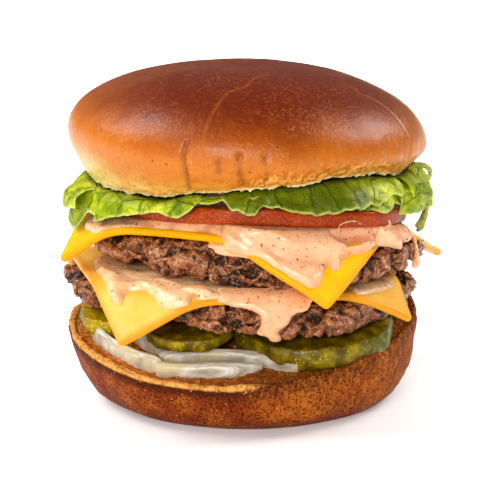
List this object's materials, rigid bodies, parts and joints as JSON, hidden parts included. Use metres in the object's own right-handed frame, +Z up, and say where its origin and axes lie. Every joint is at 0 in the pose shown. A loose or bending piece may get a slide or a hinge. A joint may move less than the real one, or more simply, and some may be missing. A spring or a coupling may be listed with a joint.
{
  "type": "double cheeseburger",
  "caption": "Double cheeseburger in a glossy bun, with ground-beef patties, draped cheese slices, sauce, tomato, lettuce, pickles and onion.",
  "frame": {"origin": "middle of the heel's flat underside, on the table", "axes": "+Z up through the layers, -Y to the front that the fillings lean out of, +X to the right"},
  "size_m": [0.1227, 0.1182, 0.1043],
  "materials": {
    "heel_crust": "dry baked crust with fine pores",
    "crown_crust": "satin glazed crust, brown on top and cream at the cut edge",
    "onion": "moist and slightly clear",
    "pickle": "wet, with seeds",
    "patty": "crumbly browned meat, glistening with fat",
    "cheese_lower": "soft satin",
    "cheese_upper": "soft satin, part melted",
    "sauce": "smooth and wet, with red specks",
    "tomato": "wet",
    "lettuce": "waxy leaf with veins"
  },
  "bodies": {
    "root": {"heel_bun": "heel_crust", "onion_strip_left": "onion", "onion_strip_front": "onion", "onion_strip_long": "onion", "onion_strip_inner": "onion", "pickle_left": "pickle", "pickle_middle": "pickle", "pickle_right": "pickle", "patty_lower": "patty", "cheese_lower": "cheese_lower", "sauce_lower": "sauce", "sauce_drip": "sauce", "patty_upper": "patty", "cheese_upper": "cheese_upper", "sauce_upper": "sauce", "tomato_slice": "tomato", "lettuce_left": "lettuce", "lettuce_front": "lettuce", "lettuce_under": "lettuce", "lettuce_right": "lettuce", "lettuce_back": "lettuce", "crown_bun": "crown_crust"}
  },
  "joints": []
}
